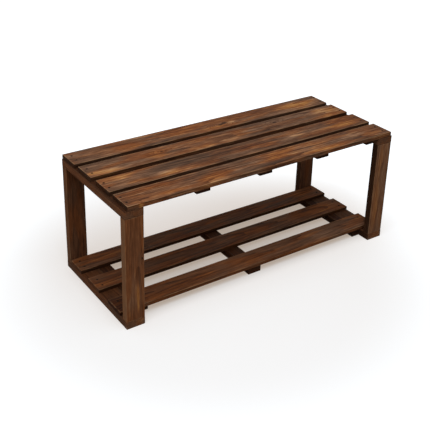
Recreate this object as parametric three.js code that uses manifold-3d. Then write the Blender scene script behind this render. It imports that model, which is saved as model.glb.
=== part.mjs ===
// Slatted wooden bench with a slatted shelf just above the floor.
// Millimetres, +Z up. The origin lies on the floor under the middle, and the front faces -Y.
import * as THREE from 'three';
import { mergeVertices } from 'three/addons/utils/BufferGeometryUtils.js';
import Module from 'manifold-3d';

// Outside of the bench
const benchLength = 1000;
const benchDepth = 396;
const benchHeight = 396;

// Boards of the two end frames
const frameWidth = 60;
const frameThick = 24;

// Seat slats, listed from the front to the rear
const seatSlatThick = 14;
const seatOpenDepth = 60; // all gaps between the seat slats together
const seatGapShares = [0.29, 0.38, 0.33];
const seatEndInset = 7.5; // slat ends stop short of the frames' outer faces
const seatShiftShares = [0.33, 0.13, -0.33, -0.73]; // each slat as laid, in end insets

// Battens under the seat; those beside the end frames may stop short of the others at the front
const seatBattenWidth = 48;
const seatBattenThick = 24;
const seatBattenPitch = 226;
const seatBattenShift = -3.5;
const seatSideBattens = { left: { width: 30, short: 26 }, right: { width: 30, short: 0 } };

// Shelf slats and the battens that carry them on the floor
const shelfSlatThick = 12;
const shelfFrontGap = 16; // from the front legs
const shelfRearGap = 2; // from the rear legs
const shelfOpenDepth = 105; // both gaps between the shelf slats together
const shelfGapShares = [0.55, 0.45];
const shelfBattenWidth = 48;
const shelfBattenShift = -12;
const shelfBattenSetback = 5; // inside the shelf's front and rear edges
const shelfSideBattens = { left: { width: 42, short: 12 }, right: { width: 30, short: 0 } };

// Planed and sanded edges of every board
const edgeRadius = 1.8;
const endEase = 1;
const edgeSteps = 1;

// Countersunk screws
const slatScrew = { head: 7, shank: 3.5, tip: 4 };
const legScrew = { head: 9, shank: 4.5, tip: 5 };
const legScrewLength = 65;
const screwSpacing = 34; // between the two screws across a slat
const screwInset = 21.5; // from the frames' outer faces to the rows of heads
const screwCover = 5; // wood left beyond the tip of a slat screw
const screwSink = 0.3; // heads lie below the face
const screwClearance = 0.4;
const screwSides = 12;
const drillOverrun = 2;

// Finishes: dark walnut stain, a little lighter where the seat catches the light
const finishes = {
  seat: { color: 0x7b4f33, roughness: 0.55, metalness: 0 },
  frame: { color: 0x5a3524, roughness: 0.6, metalness: 0 },
  shelf: { color: 0x4d2c1e, roughness: 0.62, metalness: 0 },
  batten: { color: 0x3a2318, roughness: 0.7, metalness: 0 },
  screw: { color: 0x2a2624, roughness: 0.45, metalness: 0.8 },
};

// Levels and planes that the pieces share
const seatUnderside = benchHeight - seatSlatThick;
const legTop = seatUnderside - frameThick;
const shelfTop = frameThick + shelfSlatThick;
const frontFace = -benchDepth / 2;
const rearFace = benchDepth / 2;
const legInnerFront = frontFace + frameThick;
const legInnerRear = rearFace - frameThick;
const frameCentre = (benchLength - frameWidth) / 2;
const frameInner = benchLength / 2 - frameWidth;
const sides = { left: -1, right: 1 };

const wasm = await Module();
wasm.setup();

function around(centre, width) {
  return [centre - width / 2, centre + width / 2];
}

function middle(span) {
  return (span[0] + span[1]) / 2;
}

// A board: its spans along the three axes and the axis that its grain follows
function board(name, grain, x, y, z, finish) {
  return { name, grain, spans: { x, y, z }, finish };
}

// A screw: the point on the face where its head lies, and whether the head is on top or below
function screw(name, kind, length, x, y, z, headUp) {
  return { name, kind, length, at: new THREE.Vector3(x, y, z), headUp };
}

// Equal slats between two edges, with the open depth dealt out between them
function slatSpans(front, rear, openDepth, gapShares) {
  const width = (rear - front - openDepth) / (gapShares.length + 1);
  const spans = [[front, front + width]];
  for (const share of gapShares) {
    const low = spans.at(-1)[1] + openDepth * share;
    spans.push([low, low + width]);
  }
  return spans;
}

const seatRows = slatSpans(frontFace, rearFace, seatOpenDepth, seatGapShares);
const shelfRows = slatSpans(
  legInnerFront + shelfFrontGap,
  legInnerRear - shelfRearGap,
  shelfOpenDepth,
  shelfGapShares,
);

// Two legs between a bottom rail, flat on the floor, and a top rail that caps them
function endFrame(side, sign) {
  const x = around(sign * frameCentre, frameWidth);
  const whole = [frontFace, rearFace];
  const standing = [frameThick, legTop];
  return [
    board(`bottom_rail_${side}`, 'y', x, whole, [0, frameThick], finishes.frame),
    board(`leg_front_${side}`, 'z', x, [frontFace, legInnerFront], standing, finishes.frame),
    board(`leg_rear_${side}`, 'z', x, [legInnerRear, rearFace], standing, finishes.frame),
    board(`top_rail_${side}`, 'y', x, whole, [legTop, seatUnderside], finishes.frame),
  ];
}

function seatSlats() {
  const length = benchLength - 2 * seatEndInset;
  return seatRows.map((row, index) => {
    const x = around(seatShiftShares[index] * seatEndInset, length);
    return board(`seat_slat_${index + 1}`, 'x', x, row, [seatUnderside, benchHeight], finishes.seat);
  });
}

// The battens beside the end frames, each cut short at the front by its own amount
function sideBattens(level, sizes, y, z) {
  return Object.entries(sides).map(([side, sign]) => {
    const { width, short } = sizes[side];
    const x = around(sign * (frameInner - width / 2), width);
    return board(`${level}_side_batten_${side}`, 'y', x, [y[0] + short, y[1]], z, finishes.batten);
  });
}

const seatBattenCentres = [-1, 0, 1].map((step) => step * seatBattenPitch + seatBattenShift);

// Battens lie flat under the seat slats, between the planes of the legs' inner faces
function seatBattens() {
  const y = [legInnerFront, legInnerRear];
  const z = [seatUnderside - seatBattenThick, seatUnderside];
  const boards = seatBattenCentres.map((centre, index) => {
    const x = around(centre, seatBattenWidth);
    return board(`seat_batten_${index + 1}`, 'y', x, y, z, finishes.batten);
  });
  return [...boards, ...sideBattens('seat', seatSideBattens, y, z)];
}

function shelfSlats() {
  const x = around(0, benchLength);
  return shelfRows.map((row, index) => {
    return board(`shelf_slat_${index + 1}`, 'x', x, row, [frameThick, shelfTop], finishes.shelf);
  });
}

// Shelf battens are as thick as the bottom rails, so that the slats lie level on both
function shelfBattens() {
  const y = [shelfRows[0][0] + shelfBattenSetback, shelfRows.at(-1)[1] - shelfBattenSetback];
  const z = [0, frameThick];
  const x = around(shelfBattenShift, shelfBattenWidth);
  const middleBatten = board('shelf_batten_middle', 'y', x, y, z, finishes.batten);
  return [middleBatten, ...sideBattens('shelf', shelfSideBattens, y, z)];
}

// Two screws across each end of each slat, through the slat into the rail below it
function slatScrews(slatName, rows, face, length) {
  const screws = [];
  rows.forEach((row, index) => {
    for (const [side, sign] of Object.entries(sides)) {
      const x = sign * (benchLength / 2 - screwInset);
      const [front, rear] = around(middle(row), screwSpacing);
      for (const [edge, y] of Object.entries({ front, rear })) {
        const name = `${slatName}_${index + 1}_screw_${side}_${edge}`;
        screws.push(screw(name, slatScrew, length, x, y, face, true));
      }
    }
  });
  return screws;
}

// A long screw through a rail into the end grain of each leg
function legScrews(railName, face, headUp) {
  const front = middle([frontFace, legInnerFront]);
  const rear = middle([legInnerRear, rearFace]);
  const screws = [];
  for (const [side, sign] of Object.entries(sides)) {
    for (const [leg, y] of Object.entries({ front, rear })) {
      const name = `${railName}_${side}_screw_${leg}`;
      screws.push(screw(name, legScrew, legScrewLength, sign * frameCentre, y, face, headUp));
    }
  }
  return screws;
}

// A closed mesh with shared corners and without empty triangles, as turned shapes have on their axis
function closedMesh(geometry) {
  const bare = geometry.clone();
  bare.deleteAttribute('normal');
  bare.deleteAttribute('uv');
  const merged = mergeVertices(bare);
  const index = merged.getIndex().array;
  const kept = [];
  for (let i = 0; i < index.length; i += 3) {
    const [a, b, c] = index.slice(i, i + 3);
    if (a !== b && b !== c && c !== a) kept.push(a, b, c);
  }
  merged.setIndex(kept);
  return merged;
}

function toSolid(geometry) {
  const mesh = closedMesh(geometry);
  const vertProperties = new Float32Array(mesh.getAttribute('position').array);
  const triVerts = new Uint32Array(mesh.getIndex().array);
  return new wasm.Manifold(new wasm.Mesh({ numProp: 3, vertProperties, triVerts }));
}

function toGeometry(solid) {
  const mesh = solid.getMesh();
  const geometry = new THREE.BufferGeometry();
  geometry.setAttribute('position', new THREE.BufferAttribute(mesh.vertProperties, 3));
  geometry.setIndex(new THREE.BufferAttribute(mesh.triVerts, 1));
  return geometry;
}

// Section of a board with its four long edges rounded
function boardSection(width, height) {
  const x = width / 2 - edgeRadius;
  const y = height / 2 - edgeRadius;
  const section = new THREE.Shape();
  section.absarc(x, y, edgeRadius, 0, Math.PI / 2);
  section.absarc(-x, y, edgeRadius, Math.PI / 2, Math.PI);
  section.absarc(-x, -y, edgeRadius, Math.PI, 1.5 * Math.PI);
  section.absarc(x, -y, edgeRadius, 1.5 * Math.PI, 2 * Math.PI);
  return section;
}

// A board round its own centre: a rounded section run along the grain, with eased ends
function boardGeometry(size, grain) {
  const sections = { x: [size.z, size.y], y: [size.x, size.z], z: [size.x, size.y] };
  const depth = size[grain] - 2 * endEase;
  const geometry = new THREE.ExtrudeGeometry(boardSection(...sections[grain]), {
    depth,
    curveSegments: edgeSteps,
    bevelThickness: endEase,
    bevelSize: endEase,
    bevelOffset: -endEase,
    bevelSegments: 1,
  });
  geometry.translate(0, 0, -depth / 2);
  if (grain === 'x') geometry.rotateY(Math.PI / 2);
  if (grain === 'y') geometry.rotateX(-Math.PI / 2);
  return geometry;
}

// Turned outline from the tip up to the head, for the screw itself
function screwOutline(kind, length) {
  const shank = kind.shank / 2;
  const head = kind.head / 2;
  return [
    [0, -length],
    [shank, kind.tip - length],
    [shank, shank - head - screwSink],
    [head, -screwSink],
    [0, -screwSink],
  ];
}

// The same outline with the clearance round it, and its countersink run out through the face
function holeOutline(kind, length) {
  const shank = kind.shank / 2 + screwClearance;
  const head = kind.head / 2 + screwClearance;
  return [
    [0, -length - screwClearance],
    [shank, kind.tip - length - screwClearance],
    [shank, shank - head - screwSink],
    [head + screwSink + drillOverrun, drillOverrun],
    [0, drillOverrun],
  ];
}

// An outline turned round its axis and laid upright, with the head on top or below
function turned(outline, headUp) {
  const points = outline.map(([radius, height]) => new THREE.Vector2(radius, height));
  const geometry = new THREE.LatheGeometry(points, screwSides);
  geometry.rotateX(headUp ? Math.PI / 2 : -Math.PI / 2);
  return geometry;
}

function named(name, geometry, finish, position) {
  const material = new THREE.MeshStandardMaterial({ ...finish, flatShading: true });
  const mesh = new THREE.Mesh(geometry, material);
  mesh.name = name;
  mesh.position.copy(position);
  return mesh;
}

// A finished board: every screw hole that reaches into its spans is drilled out of it
function boardMesh(piece, screws) {
  const { x, y, z } = piece.spans;
  const size = new THREE.Vector3(x[1] - x[0], y[1] - y[0], z[1] - z[0]);
  const centre = new THREE.Vector3(middle(x), middle(y), middle(z));
  const room = new THREE.Box3().setFromCenterAndSize(centre, size);
  let solid = toSolid(boardGeometry(size, piece.grain));
  for (const { kind, length, at, headUp } of screws) {
    const hole = turned(holeOutline(kind, length), headUp).translate(at.x, at.y, at.z);
    hole.computeBoundingBox();
    if (!hole.boundingBox.intersectsBox(room)) continue;
    solid = solid.subtract(toSolid(hole.translate(-centre.x, -centre.y, -centre.z)));
  }
  return named(piece.name, toGeometry(solid), piece.finish, centre);
}

function screwMesh({ name, kind, length, at, headUp }) {
  return named(name, closedMesh(turned(screwOutline(kind, length), headUp)), finishes.screw, at);
}

function group(boards, screws) {
  const result = new THREE.Group();
  for (const piece of boards) result.add(boardMesh(piece, screws));
  return result;
}

const seatScrewLength = seatSlatThick + frameThick - screwCover;
const shelfScrewLength = shelfSlatThick + frameThick - screwCover;
const screws = [
  ...slatScrews('seat_slat', seatRows, benchHeight, seatScrewLength),
  ...slatScrews('shelf_slat', shelfRows, shelfTop, shelfScrewLength),
  ...legScrews('top_rail', seatUnderside, true),
  ...legScrews('bottom_rail', 0, false),
];

const bench = new THREE.Group();
for (const [side, sign] of Object.entries(sides)) bench.add(group(endFrame(side, sign), screws));
bench.add(group([...seatSlats(), ...seatBattens()], screws));
bench.add(group([...shelfSlats(), ...shelfBattens()], screws));
for (const piece of screws) bench.add(screwMesh(piece));

export default bench;
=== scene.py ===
# Slatted wooden bench with a low slatted shelf, stained dark walnut
import math
import random

import bmesh
import bpy
from mathutils import Matrix, Vector, noise


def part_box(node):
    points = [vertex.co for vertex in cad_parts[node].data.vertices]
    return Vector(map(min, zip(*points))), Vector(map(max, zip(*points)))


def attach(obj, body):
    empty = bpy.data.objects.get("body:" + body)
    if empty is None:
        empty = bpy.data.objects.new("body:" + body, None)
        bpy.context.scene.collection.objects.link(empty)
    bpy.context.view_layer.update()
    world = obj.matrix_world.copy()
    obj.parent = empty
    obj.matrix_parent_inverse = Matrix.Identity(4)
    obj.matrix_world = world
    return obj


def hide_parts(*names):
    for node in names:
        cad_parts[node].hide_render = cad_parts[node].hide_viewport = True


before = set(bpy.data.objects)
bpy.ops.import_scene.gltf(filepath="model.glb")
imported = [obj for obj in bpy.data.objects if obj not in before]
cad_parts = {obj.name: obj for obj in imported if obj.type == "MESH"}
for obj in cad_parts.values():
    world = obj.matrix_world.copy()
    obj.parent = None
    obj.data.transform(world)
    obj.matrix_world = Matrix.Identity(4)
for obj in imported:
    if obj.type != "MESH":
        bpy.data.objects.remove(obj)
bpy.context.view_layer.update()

mm = 0.001
chance = random.Random(7)
scene = bpy.context.scene


# Helpers shared by every piece and finish

def linear(hexColour):
    channels = [int(hexColour[i:i + 2], 16) / 255 for i in (1, 3, 5)]
    curve = [c / 12.92 if c <= 0.04045 else ((c + 0.055) / 1.055) ** 2.4 for c in channels]
    return (*curve, 1.0)


def addNode(tree, kind, settings=None, links=None):
    # settings are properties, input values or a ramp's stops; links are nodes or sockets
    node = tree.nodes.new("ShaderNode" + kind)
    inputs = dict(settings or {})
    stops = inputs.pop("stops", None)
    if stops:
        ramp = node.color_ramp.elements
        for stop, (place, colour) in zip((ramp[0], ramp[-1]), (stops[0], stops[-1])):
            stop.position, stop.color = place, linear(colour)
        for place, colour in stops[1:-1]:
            ramp.new(place).color = linear(colour)
    for key in [k for k in inputs if isinstance(k, str) and hasattr(node, k)]:
        setattr(node, key, inputs.pop(key))
    inputs.update(links or {})
    for key, value in inputs.items():
        socket = node.inputs[key] if isinstance(key, int) else next(
            s for s in node.inputs if s.enabled and s.name == key)
        if isinstance(value, bpy.types.Node):
            value = next(s for s in value.outputs if s.enabled)
        if isinstance(value, bpy.types.NodeSocket):
            tree.links.new(value, socket)
        else:
            socket.default_value = value
    return node


def newMaterial(name):
    material = bpy.data.materials.new(name)
    material.use_nodes = True
    material.node_tree.nodes.clear()
    return material, material.node_tree


def addPiece(name, mesh, replaced, material):
    piece = bpy.data.objects.new(name, mesh)
    scene.collection.objects.link(piece)
    mesh.materials.clear()
    mesh.materials.append(material)
    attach(piece, "root")
    if replaced:
        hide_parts(replaced)
    return piece


def meshOf(bm, name):
    mesh = bpy.data.meshes.new(name)
    bm.to_mesh(mesh)
    bm.free()
    return mesh


def cutMesh(mesh, cutter):
    # takes the cutter's solids out of the mesh
    body = bpy.data.objects.new("cutBody", mesh)
    tool = bpy.data.objects.new("cutTool", cutter)
    for thing in (body, tool):
        scene.collection.objects.link(thing)
    cut = body.modifiers.new("cut", "BOOLEAN")
    cut.operation = "DIFFERENCE"
    cut.solver = "EXACT"
    cut.object = tool
    bpy.context.view_layer.update()
    view = bpy.context.evaluated_depsgraph_get()
    result = bpy.data.meshes.new_from_object(body.evaluated_get(view))
    result.name = mesh.name
    for thing in (body, tool):
        bpy.data.objects.remove(thing)
    bpy.data.meshes.remove(cutter)
    return result


# Boards

def boardPlace(node):
    # centre, turn and size of a board in its own axes: x along the grain, y across, z through it
    low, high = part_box(node)
    size = high - low
    order = sorted(range(3), key=lambda axis: -size[axis])
    turn = Matrix(((0, 0, 0),) * 3)
    for column, axis in enumerate(order):
        turn[axis][column] = 1.0
    if turn.determinant() < 0:
        turn.col[2] = -turn.col[2]
    return (low + high) / 2, turn, Vector([size[axis] for axis in order])


# Long edges by the signs of y and z in the board's own axes. A slat's upper edges are sanded round,
# most of all the front one that a hand meets, and its lower ones are only broken.
slatShape = {
    "arrises": {(-1, 1): 1.8 * mm, (1, 1): 1.1 * mm, (1, -1): 0.8 * mm, (-1, -1): 0.8 * mm},
    "arrisSteps": 4,
    "endEase": 0.6 * mm,
    "endSteps": 2,
    "station": 8 * mm,        # spacing of the cuts along the grain
    "wornReach": 1.05,        # how far in from an edge the wear goes, in arrises
    "softness": 0.2 * mm,     # sanding by hand wanders by this much
    "softLength": 60 * mm,
    "dent": 0.9 * mm,         # knocks, deepest on the roundest edge
    "dentLength": 14 * mm,
    "dentShare": 0.34,
}
frameShape = dict(slatShape, dent=0.5 * mm, arrises=dict.fromkeys(slatShape["arrises"], 1.5 * mm))
battenShape = dict(slatShape, dent=0.3 * mm, arrises=dict.fromkeys(slatShape["arrises"], 0.9 * mm))

# knocked places: distance from the board's left end, length, depth, the edge's signs of y and z
chips = {
    "seat_slat_1": [(35 * mm, 22 * mm, 2.2 * mm, (-1, 1)), (63 * mm, 12 * mm, 1.4 * mm, (-1, 1))],
}
chipBreak = {"least": 0.7, "rough": 0.5}    # shares of the depth: even, and as the knocks go

# lanes of the noise, so that no two boards or edges wear alike, and knocks don't follow the sanding
lanes = {"boards": 100, "across": 7, "through": 17, "knocks": 5}


def wearArris(bm, node, size, shape):
    # rubs the long edges down unevenly, always inwards
    boardLane = chance.uniform(0, lanes["boards"])
    for vert in bm.verts:
        x, y, z = vert.co
        edge = (round(math.copysign(1, y)), round(math.copysign(1, z)))
        arris = shape["arrises"][edge]
        reach = arris * shape["wornReach"]
        if size.y / 2 - abs(y) > reach or size.z / 2 - abs(z) > reach:
            continue
        lane = boardLane + lanes["across"] * edge[0] + lanes["through"] * edge[1]
        soft = (noise.noise(Vector((x / shape["softLength"], lane, 0))) + 1) / 2
        knock = noise.noise(Vector((x / shape["dentLength"], lane, lanes["knocks"])))
        knock -= shape["dentShare"]
        worn = arris / max(shape["arrises"].values())
        depth = worn * (shape["softness"] * soft + shape["dent"] * max(0.0, knock))
        for start, length, deep, chipped in chips.get(node, []):
            along = (x + size.x / 2 - start) / length
            if edge == chipped and 0 < along < 1:
                broken = chipBreak["least"] + chipBreak["rough"] * knock
                depth += deep * math.sin(math.pi * along) * broken
        vert.co -= Vector((0, *edge)).normalized() * depth


def buildBoard(node, shape):
    centre, turn, size = boardPlace(node)
    close = mm / 10
    bm = bmesh.new()
    bmesh.ops.create_cube(bm, size=1)
    bmesh.ops.scale(bm, vec=size, verts=bm.verts)
    for (side, top), arris in shape["arrises"].items():
        corner = Vector((0, side * size.y / 2, top * size.z / 2))
        edges = [e for e in bm.edges
                 if all((Vector((0, v.co.y, v.co.z)) - corner).length < close for v in e.verts)]
        bmesh.ops.bevel(bm, geom=edges, offset=arris, segments=shape["arrisSteps"],
                        profile=0.5, affect="EDGES", material=-1)
    rims = [e for e in bm.edges if abs(e.verts[0].co.x - e.verts[1].co.x) < close]
    bmesh.ops.bevel(bm, geom=rims, offset=shape["endEase"], segments=shape["endSteps"],
                    profile=0.5, affect="EDGES", material=-1)
    lengthwise = [e for e in bm.edges if abs(e.verts[0].co.x - e.verts[1].co.x) > size.x / 2]
    bmesh.ops.subdivide_edges(bm, edges=lengthwise, cuts=round(size.x / shape["station"]),
                              use_grid_fill=True)
    wearArris(bm, node, size, shape)
    bmesh.ops.transform(bm, matrix=Matrix.Translation(centre) @ turn.to_4x4(), verts=bm.verts)
    bmesh.ops.recalc_face_normals(bm, faces=bm.faces)
    return meshOf(bm, node + "_board")


# Screws: countersunk, with a cross recess, sunk a little below the face

screwShape = {
    "sides": 32,
    "rim": 0.25 * mm,
    "pointShare": 0.12,        # of the shank
    "slotWide": 1.1 * mm,
    "slotShare": 0.62,         # of the head
    "slotDeep": 1.7 * mm,
    "slotFoot": (0.35, 0.7),   # a slot's length and width at the bottom, in shares of the top's
}
slatScrew = {"head": 7 * mm, "shank": 3.5 * mm, "tip": 4 * mm}
legScrew = {"head": 9 * mm, "shank": 4.5 * mm, "tip": 5 * mm}
countersink = {"room": 0.35 * mm, "deep": 2.6 * mm, "over": 1 * mm, "sunk": 0.3 * mm, "sides": 28}
battenScrews = {"spacing": 34 * mm, "cover": 4 * mm}    # wood left beyond the tips


def modelScrew(node):
    # a screw of the frame: where its head lies, which way it faces, its length and its kind
    low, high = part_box(node)
    up = -1 if node.startswith("bottom_rail") else 1
    at = Vector(((low.x + high.x) / 2, (low.y + high.y) / 2, high.z if up > 0 else low.z))
    kind = legScrew if "rail" in node else slatScrew
    return {"at": at, "up": up, "length": high.z - low.z, "kind": kind}


def screwsUnder(batten, slats):
    # screws up through a batten into each slat that lies on it, two where the batten is wide
    low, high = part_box(batten)
    screws = []
    for slat in slats:
        slatLow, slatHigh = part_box(slat)
        middle = (max(low.y, slatLow.y) + min(high.y, slatHigh.y)) / 2
        reach = 0 if "side" in batten else battenScrews["spacing"] / 2
        length = slatHigh.z - low.z - battenScrews["cover"]
        for y in sorted({middle - reach, middle + reach}):
            at = Vector(((low.x + high.x) / 2, y, low.z + countersink["sunk"]))
            screws.append({"at": at, "up": -1, "length": length, "kind": slatScrew})
    return screws


def slotCutter(kind, shape, turn):
    # one arm of the cross recess
    bm = bmesh.new()
    reach = kind["head"] * shape["slotShare"]
    bmesh.ops.create_cube(bm, size=1)
    bmesh.ops.scale(bm, vec=(reach, shape["slotWide"], 2 * shape["slotDeep"]), verts=bm.verts)
    bmesh.ops.scale(bm, vec=(*shape["slotFoot"], 1), verts=[v for v in bm.verts if v.co.z < 0])
    bmesh.ops.rotate(bm, cent=(0, 0, 0), matrix=Matrix.Rotation(turn, 3, "Z"), verts=bm.verts)
    return meshOf(bm, "slotCutter")


def buildScrew(kind, length, shape):
    # head at the origin, shank down the z axis
    head, shank = kind["head"] / 2, kind["shank"] / 2
    bm = bmesh.new()
    bmesh.ops.create_circle(bm, cap_ends=True, radius=head - shape["rim"], segments=shape["sides"])
    edges = list(bm.edges)
    for radius, drop in (
        (head, shape["rim"]),
        (shank, shape["rim"] + head - shank),
        (shank, length - kind["tip"]),
        (shape["pointShare"] * shank, length),
    ):
        made = bmesh.ops.extrude_edge_only(bm, edges=edges)["geom"]
        ring = [v for v in made if isinstance(v, bmesh.types.BMVert)]
        for vert in ring:
            flat = Vector((vert.co.x, vert.co.y, 0)).normalized() * radius
            vert.co = (flat.x, flat.y, -drop)
        edges = [e for e in made
                 if isinstance(e, bmesh.types.BMEdge) and all(v in ring for v in e.verts)]
    bmesh.ops.contextual_create(bm, geom=edges)
    bmesh.ops.recalc_face_normals(bm, faces=bm.faces)
    mesh = meshOf(bm, "screw")
    # the arms are cut one by one, because two crossed ones at once cut everything away
    for turn in (0, math.pi / 2):
        mesh = cutMesh(mesh, slotCutter(kind, shape, turn))
    return mesh


def sinkCutter(screws):
    # cones that open the wood round the heads
    bm = bmesh.new()
    deep, over = countersink["deep"], countersink["over"]
    for screw in screws:
        radius = screw["kind"]["head"] / 2 + countersink["room"]
        made = bmesh.ops.create_cone(bm, cap_ends=True, segments=countersink["sides"],
                                     radius1=radius - deep, radius2=radius + over,
                                     depth=deep + over)["verts"]
        bmesh.ops.translate(bm, vec=(0, 0, (over - deep) / 2), verts=made)
        if screw["up"] < 0:
            bmesh.ops.rotate(bm, cent=(0, 0, 0), matrix=Matrix.Rotation(math.pi, 3, "X"), verts=made)
        bmesh.ops.translate(bm, vec=screw["at"], verts=made)
    return meshOf(bm, "sinkCutter")


# Stained wood

# Noise in the wood: its own seed, its length along and across the grain in mm, and its detail. Streaks
# of 8 mm and fibres of 3.5 mm across are coarser than real ones, so that they show.
grainFields = {
    "drift": (0, 420, 90, 2.0),      # slow bends of the grain
    "quiver": (1, 60, 16, 2.0),
    "years": (3, 600, 30, 1.0),      # wide and narrow years
    "strength": (5, 700, 8, 1.0),    # how strongly the late wood shows
    "streak": (7, 110, 8, 2.0),
    "fibre": (8, 34, 3.5, 2.0),
    "brush": (9, 200, 30, 3.0),
    "rubbed": (11, 70, 12, 3.0),
    "rust": (13, 160, 34, 1.5),
}
noiseSettings = {"apart": (531, 97, 41), "roughness": 0.55, "mean": 0.5}

# Where marks fade: distances in mm from a face, an end or the middle, or in radii of an oval round a
# spot. The last three sort out noise.
fades = {
    "side": {"From Min": 0.4, "From Max": 1.2, "To Min": 1.0, "To Max": 0.0},
    "acrossMiddle": {"From Min": -1.0, "From Max": 1.0},
    "paintedBedMask": {"From Min": 0.8, "From Max": 1.6, "To Max": 0.0},
    "broadFace": {"From Min": 0.5, "From Max": 1.1, "To Min": 1.0, "To Max": 0.0},
    "end": {"From Min": 0.2, "From Max": 0.6, "To Max": 0.0},
    "sink": {"From Min": 0.7, "From Max": 1.2, "To Max": 0.0},
    "rim": {"interpolation_type": "SMOOTHSTEP", "From Min": 0.8, "To Max": 0.0},
    "patch": {"interpolation_type": "SMOOTHSTEP", "From Min": 0.3, "From Max": 1.2,
              "To Min": 1.0, "To Max": 0.0},
    "knotHeart": {"interpolation_type": "SMOOTHSTEP", "From Min": 0.4, "From Max": 1.2,
                  "To Min": 0.92, "To Max": 0.0},
    "knotPush": {"interpolation_type": "SMOOTHSTEP", "From Min": 0.4, "From Max": 4.2, "To Max": 0.0},
    "noise": {"interpolation_type": "SMOOTHSTEP", "From Min": 0.4, "From Max": 0.6},
    "lateWood": {"From Min": 0.35, "From Max": 0.6, "To Min": 0.3, "To Max": 1.0},
    "roughness": {"From Min": 0.3, "From Max": 0.7},
}

# a knot's ovals and the bulge of the rings round it, in knot sizes
knotShape = {"pushOval": (4.4, 2), "heartOval": (3.2, 1.9), "bulge": 2.4}
# late wood: by how many years its rings waver, how sharp it is, its mean, and its relief in fibres
lateWood = {"uneven": 2.5, "sharpness": 3.0, "mean": 0.25, "relief": 0.6}
middleTone = 0.5    # on the ramps of colour


def woodPlace(tree, node):
    # millimetres from the board's centre: x along the grain, y across the face, z through the board
    centre, turn = boardPlace(node)[:2]
    coords = addNode(tree, "TexCoord")
    return addNode(tree, "Mapping", {
        "vector_type": "TEXTURE", "Location": centre, "Rotation": turn.to_euler(), "Scale": (mm, mm, mm),
    }, {"Vector": coords.outputs["Object"]})


def drawnOut(tree, place, seed, field):
    # noise in patches that are drawn out along the grain
    step, along, across, detail = grainFields[field]
    shift = tuple(apart * (seed + step) for apart in noiseSettings["apart"])
    moved = addNode(tree, "VectorMath", {"operation": "ADD", 1: shift}, {0: place})
    scaled = addNode(tree, "VectorMath", {
        "operation": "MULTIPLY", 1: (1 / along, 1 / across, 1 / across)}, {0: moved})
    return addNode(tree, "TexNoise", {
        "Scale": 1.0, "Detail": detail, "Roughness": noiseSettings["roughness"]}, {"Vector": scaled})


def wander(tree, place, seed, field, amount):
    # lets the grain wander sideways by about the amount
    drift = drawnOut(tree, place, seed, field)
    centred = addNode(tree, "VectorMath", {"operation": "SUBTRACT", 1: (noiseSettings["mean"],) * 3},
                      {0: drift.outputs["Color"]})
    return addNode(tree, "VectorMath", {"operation": "MULTIPLY_ADD", 1: (0, amount, amount)},
                   {0: centred, 2: place})


def spot(tree, place, along, across, length, width):
    # distance from a place on the board: 1 at the rim of an oval of this length and width
    toSpot = addNode(tree, "VectorMath", {"operation": "SUBTRACT", 1: (along, across, 0)}, {0: place})
    oval = addNode(tree, "VectorMath", {"operation": "MULTIPLY", 1: (2 / length, 2 / width, 0)},
                   {0: toSpot})
    return addNode(tree, "VectorMath", {"operation": "LENGTH"}, {0: oval}).outputs["Value"]


def growthRings(tree, bent, look, seed):
    # late wood, 0 to 1, in rings round the pith that the knots push aside
    fromPith = addNode(tree, "VectorMath", {"operation": "SUBTRACT", 1: (0, *look["pith"])}, {0: bent})
    parts = addNode(tree, "SeparateXYZ", links={0: fromPith})
    rise = addNode(tree, "Math", {"operation": "MULTIPLY_ADD", 1: look["taper"]},
                   {0: parts.outputs["X"], 2: parts.outputs["Z"]})
    flat = addNode(tree, "CombineXYZ", links={"X": parts.outputs["Y"], "Y": rise})
    radius = addNode(tree, "VectorMath", {"operation": "LENGTH"}, {0: flat}).outputs["Value"]
    longer, wider = knotShape["pushOval"]
    for along, across, size in look["knots"]:
        away = spot(tree, bent, along, across, longer * size, wider * size)
        bulge = addNode(tree, "MapRange", fades["knotPush"] | {"To Min": knotShape["bulge"] * size},
                        {"Value": away})
        radius = addNode(tree, "Math", {"operation": "ADD"}, {0: radius, 1: bulge})
    years = addNode(tree, "Math", {"operation": "DIVIDE", 1: look["ring"]}, {0: radius})
    uneven = drawnOut(tree, bent, seed, "years")
    years = addNode(tree, "Math", {"operation": "MULTIPLY_ADD", 1: lateWood["uneven"]},
                    {0: uneven, 2: years})
    season = addNode(tree, "Math", {"operation": "FRACT"}, {0: years})
    late = addNode(tree, "Math", {"operation": "POWER", 1: lateWood["sharpness"]}, {0: season})
    strong = addNode(tree, "MapRange", fades["lateWood"],
                     {"Value": drawnOut(tree, bent, seed, "strength")})
    return addNode(tree, "Math", {"operation": "MULTIPLY"}, {0: late, 1: strong})


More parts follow.
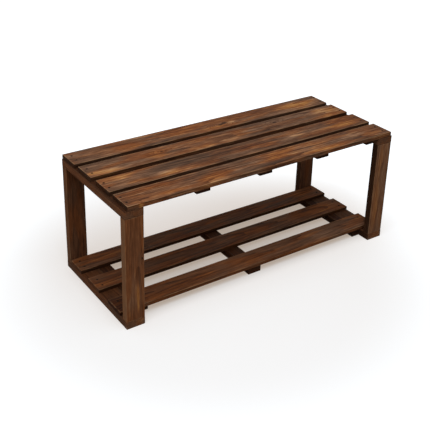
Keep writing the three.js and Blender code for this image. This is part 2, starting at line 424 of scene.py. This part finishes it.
def stainColour(tree, bent, look, fields, rustField):
    # The fields and the board's patches add up to how light the wood is. Two ramps turn that to
    # colour, one for plain stain and one for the rusty places, and the knots lie over them.
    tone = middleTone + look["lift"] - sum(share * mean for _, share, mean in fields)
    for field, share, _ in fields:
        tone = addNode(tree, "Math", {"operation": "MULTIPLY_ADD"}, {0: field, 1: share, 2: tone})
    least, most = look["rusty"]
    rusty = addNode(tree, "MapRange", fades["noise"] | {"To Min": least, "To Max": most},
                    {"Value": rustField})
    for along, across, length, width, lighter, rustier in look["patches"]:
        away = spot(tree, bent, along, across, length, width)
        inside = addNode(tree, "MapRange", fades["patch"], {"Value": away})
        tone = addNode(tree, "Math", {"operation": "MULTIPLY_ADD", 1: lighter}, {0: inside, 2: tone})
        rusty = addNode(tree, "Math", {"operation": "MULTIPLY_ADD", 1: rustier}, {0: inside, 2: rusty})
    plain = addNode(tree, "ValToRGB", {"stops": look["stain"]}, {"Fac": tone})
    rust = addNode(tree, "ValToRGB", {"stops": look["rust"]}, {"Fac": tone})
    colour = addNode(tree, "Mix", {"data_type": "RGBA"}, {"Factor": rusty, "A": plain, "B": rust})
    longer, wider = knotShape["heartOval"]
    for along, across, size in look["knots"]:
        away = spot(tree, bent, along, across, longer * size, wider * size)
        heart = addNode(tree, "MapRange", fades["knotHeart"], {"Value": away})
        colour = addNode(tree, "Mix", {"data_type": "RGBA", "B": linear(look["knot"])},
                         {"Factor": heart, "A": colour})
    return colour


def edgeColour(tree, place, node, look, seed, colour):
    # Sides that lie in the gaps or in shadow get painted shade, and sides that face the lamp get a
    # painted highlight. Broad faces where boards bed on each other get painted shade too. Stain gathers
    # dark on the end grain and round the screws, and the rims of the broad faces rub pale.
    size = boardPlace(node)[2] / mm
    absolute = addNode(tree, "VectorMath", {"operation": "ABSOLUTE"}, {0: place})
    inset = addNode(tree, "VectorMath", {"operation": "SUBTRACT", 0: size / 2}, {1: absolute})
    near = addNode(tree, "SeparateXYZ", links={0: inset})
    across = addNode(tree, "SeparateXYZ", links={0: place}).outputs["Y"]
    flank = addNode(tree, "MapRange", fades["side"], {"Value": near.outputs["Y"]})
    shares = {}
    for key in ("paintedShadeSides", "paintedLightSides"):
        front, rear = look[key]
        share = addNode(tree, "MapRange", fades["acrossMiddle"] | {"To Min": front, "To Max": rear},
                        {"Value": across})
        shares[key] = addNode(tree, "Math", {"operation": "MULTIPLY"}, {0: flank, 1: share})
    # painted shade on the broad faces where boards bed on each other
    paintedBedMask = addNode(tree, "MapRange", fades["paintedBedMask"] | {"To Min": look["paintedBedShade"]},
                  {"Value": near.outputs["Z"]})
    shares["paintedShadeSides"] = addNode(tree, "Math", {"operation": "MAXIMUM"},
                                  {0: shares["paintedShadeSides"], 1: paintedBedMask})
    # the painted shade takes the deep colour and the painted highlight the worn colour
    for key, tone in (("paintedShadeSides", "deep"), ("paintedLightSides", "worn")):
        colour = addNode(tree, "Mix", {"data_type": "RGBA", "B": linear(look[tone])},
                         {"Factor": shares[key], "A": colour})
    toRim = addNode(tree, "Math", {"operation": "MINIMUM"},
                    {0: near.outputs["X"], 1: near.outputs["Y"]})
    rubbed = addNode(tree, "MapRange", fades["rim"] | {
        "From Max": look["wearReach"], "To Min": look["wear"]}, {"Value": toRim})
    broad = addNode(tree, "MapRange", fades["broadFace"], {"Value": near.outputs["Z"]})
    rubbed = addNode(tree, "Math", {"operation": "MULTIPLY"}, {0: rubbed, 1: broad})
    uneven = addNode(tree, "MapRange", fades["noise"] | {"To Min": look["wearLeast"]},
                     {"Value": drawnOut(tree, place, seed, "rubbed")})
    rubbed = addNode(tree, "Math", {"operation": "MULTIPLY"}, {0: rubbed, 1: uneven})
    colour = addNode(tree, "Mix", {"data_type": "RGBA", "B": linear(look["worn"])},
                     {"Factor": rubbed, "A": colour})
    dark = addNode(tree, "MapRange", fades["end"] | {"To Min": look["endDark"]},
                   {"Value": near.outputs["X"]})
    for along, across in look["sinks"]:
        away = spot(tree, place, along, across, look["sinkStain"], look["sinkStain"])
        ring = addNode(tree, "MapRange", fades["sink"] | {"To Min": look["sinkDark"]}, {"Value": away})
        dark = addNode(tree, "Math", {"operation": "MAXIMUM"}, {0: dark, 1: ring})
    return addNode(tree, "Mix", {"data_type": "RGBA", "B": linear(look["deep"])},
                   {"Factor": dark, "A": colour})


def stainedSoftwood(name, node, look, seed):
    # Sawn spruce, brushed with walnut oil stain. The soft early wood drinks it unevenly, in golden,
    # rusty and dull streaks, the hard late wood stays as thin dark lines, and it dries almost matt.
    material, tree = newMaterial(name)
    place = woodPlace(tree, node)
    bent = wander(tree, place, seed, "drift", look["wave"])
    bent = wander(tree, bent, seed, "quiver", look["ripple"])

    brush, streak, fibre, rustField = [
        drawnOut(tree, bent, seed, field) for field in ("brush", "streak", "fibre", "rust")]
    late = growthRings(tree, bent, look, seed)
    mean = noiseSettings["mean"]
    colour = stainColour(tree, bent, look, [
        (brush, look["brush"], mean), (streak, look["streak"], mean), (fibre, look["fibre"], mean),
        (late, -look["late"], lateWood["mean"])], rustField)
    colour = edgeColour(tree, place, node, look, seed, colour)

    rough = addNode(tree, "MapRange", fades["roughness"] | {
        "To Min": look["rough"] - look["roughSpread"], "To Max": look["rough"] + look["roughSpread"],
    }, {"Value": streak})
    height = addNode(tree, "Math", {"operation": "MULTIPLY_ADD", 1: lateWood["relief"]},
                     {0: late, 2: fibre})
    bump = addNode(tree, "Bump", {"Strength": look["bump"], "Distance": look["bumpDepth"]},
                   {"Height": height})
    shader = addNode(tree, "BsdfPrincipled", {"IOR": 1.5, "Specular IOR Level": look["gloss"]},
                     {"Base Color": colour, "Roughness": rough, "Normal": bump})
    addNode(tree, "OutputMaterial", links={"Surface": shader})
    return material


seatLook = {
    "stain": [(0.0, "#28180f"), (0.2, "#3d2b1f"), (0.36, "#533b2c"), (0.5, "#664a37"),
              (0.6, "#72533f"), (0.7, "#896750"), (0.84, "#a98365"), (1.0, "#c8a37e")],
    "rust": [(0.0, "#2c150a"), (0.2, "#462513"), (0.36, "#5e351c"), (0.5, "#7b4726"),
             (0.6, "#8a522d"), (0.7, "#a06738"), (0.84, "#bb8249"), (1.0, "#d3a166")],
    # deep is the dark stain of end grain and round screws and also the colour of painted shade; worn is
    # the pale of rubbed rims and also the colour of painted light
    "knot": "#24130b", "worn": "#a8825f", "deep": "#220e05",
    "lift": 0.0, "brush": 0.75, "streak": 0.55, "fibre": 0.75, "late": 0.32, "rusty": (0.05, 0.75),
    "ring": 6.5, "wave": 8, "ripple": 1.6, "taper": 0.03, "pith": (10, -70),
    "patches": [], "knots": [], "sinks": [], "sinkStain": 7.5, "sinkDark": 0.35,
    # shares of painted shade on the sides in the gaps and on bedded faces, and of painted light on sides
    "paintedShadeSides": (0.75, 0.75), "paintedLightSides": (0, 0), "endDark": 0.75, "paintedBedShade": 0.0,
    "wear": 0.8, "wearReach": 3.2, "wearLeast": 0.1,
    "rough": 0.68, "roughSpread": 0.08, "bump": 0.35, "bumpDepth": 0.4 * mm, "gloss": 0.06,
}
frameLook = dict(seatLook, lift=0.035, brush=0.3, streak=0.28, fibre=0.4, late=0.2,
                 rusty=(0.35, 0.85), ring=5.5, pith=(8, -55), paintedShadeSides=(0, 0), endDark=0.25, wear=0.45)
# the rails' broad faces under the slats get painted shade
railLook = dict(frameLook, lift=0.0, rusty=(0.2, 0.7), wear=0.1, endDark=0.1, paintedBedShade=0.85)
# the shelf's lift is painted shade: its wood is darker than the seat's where the seat shades it
shelfLookPaintedShade = dict(seatLook, lift=-0.055, brush=0.45, streak=0.5, fibre=0.4, rusty=(0.3, 1.0),
                 wear=0.5, endDark=0.3, sinkDark=0.1)
# battens are darker, partly in their own tone and partly as painted shade under the slats, and their
# broad faces get painted shade where the slats bed
battenLook = dict(frameLook, lift=-0.2, streak=0.5, wear=0.2, endDark=0.5, paintedBedShade=0.6)

families = {
    "seat_slat": (slatShape, seatLook, "seat_wood"),
    "shelf_slat": (slatShape, shelfLookPaintedShade, "shelf_wood"),
    "leg": (frameShape, frameLook, "frame_wood"),
    "top_rail": (frameShape, railLook, "frame_wood"),
    "bottom_rail": (frameShape, railLook, "frame_wood"),
    "seat_batten": (battenShape, battenLook, "batten_wood"),
    "seat_side_batten": (battenShape, battenLook, "batten_wood"),
    "shelf_batten": (battenShape, battenLook, "batten_wood"),
    "shelf_side_batten": (battenShape, battenLook, "batten_wood"),
}

# What sets single boards apart, in mm from their centres. Knots: along, across, size. Patches: along,
# across, length, width, how much lighter and how much rustier. The sides' pairs: front or left, other.
boardLooks = {
    "seat_slat_1": {
        # painted shade, light on the open front side and strong on the side in the gap
        "paintedShadeSides": (0.15, 0.8), "pith": (-30, -60), "taper": 0.02, "sinkDark": 0.8,
        "patches": [(-360, 0, 320, 90, 0.02, 0.3), (-180, -5, 130, 50, 0.03, 0.6),
                    (90, 0, 170, 70, 0.05, 0.5), (215, -28, 200, 30, 0.16, 0.3),
                    (380, 10, 200, 80, 0.07, 0.1), (-449, -42, 20, 7, 0.22, 0.7)],
    },
    "seat_slat_2": {
        "lift": -0.03, "pith": (60, -45), "taper": -0.03,
        "patches": [(-430, 0, 170, 80, 0.11, 0.2), (-290, -20, 110, 36, 0.22, 0.2),
                    (-150, 14, 360, 80, -0.15, -0.4), (60, 0, 180, 60, -0.03, 0.3),
                    (200, 0, 90, 16, 0.3, 0), (405, 0, 190, 80, 0.12, 0.3)],
    },
    "seat_slat_3": {
        "streak": 0.45, "brush": 0.6, "pith": (-15, -80), "taper": 0.035,
        "knots": [(216, 13, 6.5), (-228, 8, 4)],
        "patches": [(-440, -20, 140, 44, 0.2, 0.2), (-252, 0, 100, 60, 0.02, 0.7),
                    (-20, 0, 240, 80, -0.01, 0.4), (200, 0, 280, 90, -0.04, -0.4),
                    (425, 0, 150, 80, 0.17, 0.4)],
    },
    "seat_slat_4": {
        "pith": (25, -65), "taper": -0.025,
        "knots": [(50, -14, 6.5), (68, -7, 8)],
        "patches": [(96, -10, 34, 18, 0.22, 0), (30, -14, 90, 40, -0.06, 0.5),
                    (-70, 0, 200, 80, 0.02, 0.3), (-330, 0, 300, 90, -0.02, 0.4),
                    (190, 12, 170, 50, -0.05, 0), (400, -10, 220, 80, 0.26, 0.3)],
    },
    "shelf_slat_1": {
        # painted shade, light on the open front side and strong on the side in the gap
        "paintedShadeSides": (0.1, 0.85), "wear": 0.6, "wearLeast": 0.2, "wearReach": 3.6,
        # the darker patch at its left end, at -480, is painted shade beside the front left leg
        "patches": [(-300, 0, 400, 90, -0.06, 0.3), (-480, 0, 150, 140, -0.3, 0.4),
                    (330, 0, 380, 90, 0.08, -0.2)],
    },
    # their long darker middles are painted shade under the seat
    "shelf_slat_2": {"patches": [(-100, 0, 500, 90, -0.09, 0), (430, 0, 160, 90, 0.09, 0.4)]},
    "shelf_slat_3": {"patches": [(80, 0, 760, 90, -0.1, 0), (430, 0, 140, 90, 0.07, 0.2)]},
    "leg_front_left": {
        # painted light on its left side, which faces the lamp
        "brush": 0.18, "streak": 0.2, "paintedLightSides": (0.35, 0),
        "knots": [(31, 24, 3)],
        "patches": [(-92, 9, 110, 12, 0.07, 0.8), (-165, 0, 110, 120, -0.07, 0.3),
                    (80, 0, 220, 60, -0.05, -0.2), (-20, 26, 340, 22, 0.02, 0.4),
                    (-100, -6, 200, 60, 0.07, 0)],
    },
    "leg_front_right": {
        "lift": 0.12, "brush": 0.15, "streak": 0.2, "wear": 0.7, "rusty": (0.2, 0.5),
        # painted shade on its inner left side
        "paintedShadeSides": (0.85, 0),
        "patches": [(-60, -8, 240, 34, 0.02, 0.3), (110, -10, 140, 26, 0.03, 0.3),
                    (0, 26, 340, 20, -0.06, 0)],
    },
    # darker by painted shade under the seat, with painted light on its left side
    "leg_rear_left": {"lift": -0.06, "paintedLightSides": (0.15, 0)},
    # painted shade on its inner left side
    "leg_rear_right": {"lift": -0.03, "paintedShadeSides": (0.6, 0)},
    # painted shade on the rails' broad faces under the slats, and on the right rail's inner left side
    "bottom_rail_left": {"lift": -0.05, "paintedBedShade": 0.4, "patches": [(-198, 0, 30, 120, 0.12, 0)]},
    "bottom_rail_right": {
        "lift": -0.06, "paintedBedShade": 0.4, "paintedShadeSides": (0.75, 0),
        "patches": [(-198, 0, 50, 120, 0.17, 0)],
    },
    # darker by painted shade between the shelf slats
    "shelf_side_batten_right": {"lift": -0.32},
}


steelLook = {"tones": [(0.35, "#150c07"), (0.7, "#2c1c12")], "blotch": 1.2 * mm, "rough": 0.75,
             "gloss": 0.1, "bump": 0.2, "bumpDepth": 0.1 * mm}


def darkSteel(look):
    # Phosphated steel screws, under the walnut stain that ran over them: a matt, nearly black crystal
    # coat, blotched brown, with no metal shine.
    material, tree = newMaterial("stainedPhosphatedSteel")
    coords = addNode(tree, "TexCoord")
    blotch = addNode(tree, "TexNoise", {"Scale": 1 / look["blotch"], "Detail": 3.0},
                     {"Vector": coords.outputs["Object"]})
    tone = addNode(tree, "ValToRGB", {"stops": look["tones"]}, {"Fac": blotch})
    bump = addNode(tree, "Bump", {"Strength": look["bump"], "Distance": look["bumpDepth"]},
                   {"Height": blotch})
    shader = addNode(tree, "BsdfPrincipled", {
        "Roughness": look["rough"], "Specular IOR Level": look["gloss"],
    }, {"Base Color": tone, "Normal": bump})
    addNode(tree, "OutputMaterial", links={"Surface": shader})
    return material


# Assembly

boardNodes = sorted(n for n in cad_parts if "_screw_" not in n)
screwNodes = sorted(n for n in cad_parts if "_screw_" in n)
hiddenScrews = {}
for node in boardNodes:
    if "batten" in node:
        level = node.split("_")[0]
        hiddenScrews[node] = screwsUnder(node, [n for n in boardNodes if n.startswith(level + "_slat")])

firstSeed, seedStep = 1, 0.37
sharpAngle = math.radians(35)
for index, node in enumerate(boardNodes):
    family = max((f for f in families if node.startswith(f)), key=len)
    shape, look, slot = families[family]
    mesh = buildBoard(node, shape)
    shown = [modelScrew(s) for s in screwNodes if s.startswith(node + "_screw_")]
    sunk = shown + hiddenScrews.get(node, [])
    centre, turn = boardPlace(node)[:2]
    sinks = [(turn.inverted() @ (screw["at"] - centre) / mm).to_2d() for screw in shown]
    look = dict(look, sinks=sinks, **boardLooks.get(node, {}))
    if sunk:
        mesh = cutMesh(mesh, sinkCutter(sunk))
    mesh.shade_smooth()
    mesh.set_sharp_from_angle(angle=sharpAngle)
    wood = stainedSoftwood(node + "_wood", node, look, firstSeed + seedStep * index)
    piece = addPiece(node + "_board", mesh, node, wood)
    piece.modifiers.new("evenShade", "WEIGHTED_NORMAL").keep_sharp = True
print("boards made:", len(boardNodes))

steel = darkSteel(steelLook)
screwModels = {}


def addScrew(name, replaced, screw):
    # screws that are alike to 0.01 mm share one model
    kind, length = screw["kind"], screw["length"]
    key = (kind["head"], round(length, 5))
    if key not in screwModels:
        screwModels[key] = buildScrew(kind, length, screwShape)
    mesh = screwModels[key].copy()
    spin = Matrix.Rotation(chance.uniform(0, math.pi / 2), 4, "Z")
    if screw["up"] < 0:
        spin = Matrix.Rotation(math.pi, 4, "X") @ spin
    mesh.transform(Matrix.Translation(screw["at"]) @ spin)
    addPiece(name, mesh, replaced, steel)


for node in screwNodes:
    addScrew(node + "_steel", node, modelScrew(node))
for batten, screws in hiddenScrews.items():
    for number, screw in enumerate(screws, 1):
        addScrew(f"{batten}_screw_{number}", None, screw)
print("screws made:", len(screwNodes), "and", sum(map(len, hiddenScrews.values())), "under the battens")


# Floor, light and camera

# Seamless paper, matt. The camera sees it lifted to white, as an overlit backdrop is, with only a weak
# shadow near the bench, and the bench gets no more light from that. The lift is warm and the tone seen
# under it cool, so that the open floor is neutral and the shadow takes a painted warm bounce from the
# wood round it. Between the bench's feet, where such light hardly reaches, the lift gives way to a
# darker tone, a painted shadow.
floorLook = {"paper": "#aeadac", "seen": "#acbfcd", "lift": "#d0c4ba", "white": "#ffffff",
             "wide": 24.0, "whitens": (0.45, 1.1), "dullest": (-0.14, -0.1, 0.0),
             "paintedShadowTone": "#ae9f91", "shadeFull": (0.42, 0.13, -1.0), "shadeEnds": (0.54, 0.2, 1.0)}


def paleFloor(look):
    material, tree = newMaterial("seamlessPaper")
    coords = addNode(tree, "TexCoord")
    away = addNode(tree, "VectorMath", {"operation": "DISTANCE", 1: look["dullest"]},
                   {0: coords.outputs["Object"]})
    start, end = look["whitens"]
    far = addNode(tree, "MapRange", {"interpolation_type": "SMOOTHSTEP", "From Min": start,
                                     "From Max": end}, {"Value": away.outputs["Value"]})
    lift = addNode(tree, "Mix", {"data_type": "RGBA", "A": linear(look["lift"]),
                                 "B": linear(look["white"])}, {"Factor": far})
    # painted shadow: between the bench's feet the lift gives way to the darker shaded tone
    aside = addNode(tree, "VectorMath", {"operation": "ABSOLUTE"}, {0: coords.outputs["Object"]})
    near = addNode(tree, "MapRange", {
        "data_type": "FLOAT_VECTOR", "interpolation_type": "SMOOTHSTEP", "From Min": look["shadeFull"],
        "From Max": look["shadeEnds"], "To Min": (1, 1, 1), "To Max": (0, 0, 0)}, {"Vector": aside})
    nearParts = addNode(tree, "SeparateXYZ", links={0: near})
    under = addNode(tree, "Math", {"operation": "MULTIPLY"},
                    {0: nearParts.outputs["X"], 1: nearParts.outputs["Y"]})
    lift = addNode(tree, "Mix", {"data_type": "RGBA", "B": linear(look["paintedShadowTone"])},
                   {"Factor": under, "A": lift})
    rays = addNode(tree, "LightPath")
    glow = addNode(tree, "Emission", links={"Color": lift, "Strength": rays.outputs["Is Camera Ray"]})
    tone = addNode(tree, "Mix", {"data_type": "RGBA", "A": linear(look["paper"]),
                                 "B": linear(look["seen"])}, {"Factor": rays.outputs["Is Camera Ray"]})
    paper = addNode(tree, "BsdfDiffuse", links={"Color": tone})
    both = addNode(tree, "AddShader", links={0: paper, 1: glow})
    addNode(tree, "OutputMaterial", links={"Surface": both})
    return material


bm = bmesh.new()
bmesh.ops.create_grid(bm, x_segments=1, y_segments=1, size=floorLook["wide"] / 2)
floor = bpy.data.objects.new("floor", meshOf(bm, "floor"))
scene.collection.objects.link(floor)
floor.data.materials.append(paleFloor(floorLook))

lamps = {
    "overhead": {"at": (-0.65, -0.75, 2.5), "aim": (0, 0, 0.2), "wide": 2.4, "deep": 2.0, "power": 44},
}
for name, lamp in lamps.items():
    light = bpy.data.lights.new(name, "AREA")
    light.shape = "RECTANGLE"
    light.size, light.size_y = lamp["wide"], lamp["deep"]
    light.energy = lamp["power"]
    holder = bpy.data.objects.new(name, light)
    holder.location = lamp["at"]
    towards = Vector(lamp["aim"]) - Vector(lamp["at"])
    holder.rotation_euler = towards.to_track_quat("-Z", "Y").to_euler()
    scene.collection.objects.link(holder)

# dim surround that looks white to the camera and in reflections
surround = {"glow": 0.2, "seen": 1.0}
world = bpy.data.worlds.new("surround")
scene.world = world
world.use_nodes = True
tree = world.node_tree
tree.nodes.clear()
rays = addNode(tree, "LightPath")
seen = addNode(tree, "Math", {"operation": "MAXIMUM"},
               {0: rays.outputs["Is Camera Ray"], 1: rays.outputs["Is Glossy Ray"]})
seen = addNode(tree, "Math", {"operation": "MAXIMUM"},
               {0: seen, 1: rays.outputs["Is Transmission Ray"]})
strength = addNode(tree, "MapRange", {"To Min": surround["glow"], "To Max": surround["seen"]},
                   {"Value": seen})
shine = addNode(tree, "Background", {"Color": (1, 1, 1, 1)}, {"Strength": strength})
addNode(tree, "OutputWorld", links={"Surface": shine})

# the photograph's camera: place in metres, turns in degrees, picture sizes in pixels, sensor in mm
photoCamera = {
    "place": (-1.3940, -1.9038, 1.4450), "heading": -34.667, "tilt": 66.161, "roll": 1.448,
    "focal": 816.4, "centre": (214, 140), "picture": 430, "sensor": 36,
}
camera = bpy.data.cameras.new("photoCamera")
camera.sensor_width = photoCamera["sensor"]
camera.lens = photoCamera["focal"] * camera.sensor_width / photoCamera["picture"]
half = photoCamera["picture"] / 2
camera.shift_x = (half - photoCamera["centre"][0]) / photoCamera["picture"]
camera.shift_y = (photoCamera["centre"][1] - half) / photoCamera["picture"]
cameraObject = bpy.data.objects.new("photoCamera", camera)
turns = [(photoCamera["heading"], "Z"), (photoCamera["tilt"], "X"), (photoCamera["roll"], "Z")]
aim = Matrix.Identity(3)
for degrees, axis in turns:
    aim = aim @ Matrix.Rotation(math.radians(degrees), 3, axis)
cameraObject.matrix_world = Matrix.Translation(photoCamera["place"]) @ aim.to_4x4()
scene.collection.objects.link(cameraObject)
scene.camera = cameraObject
scene.view_settings.view_transform = "Standard"
print("floor, light and camera set")
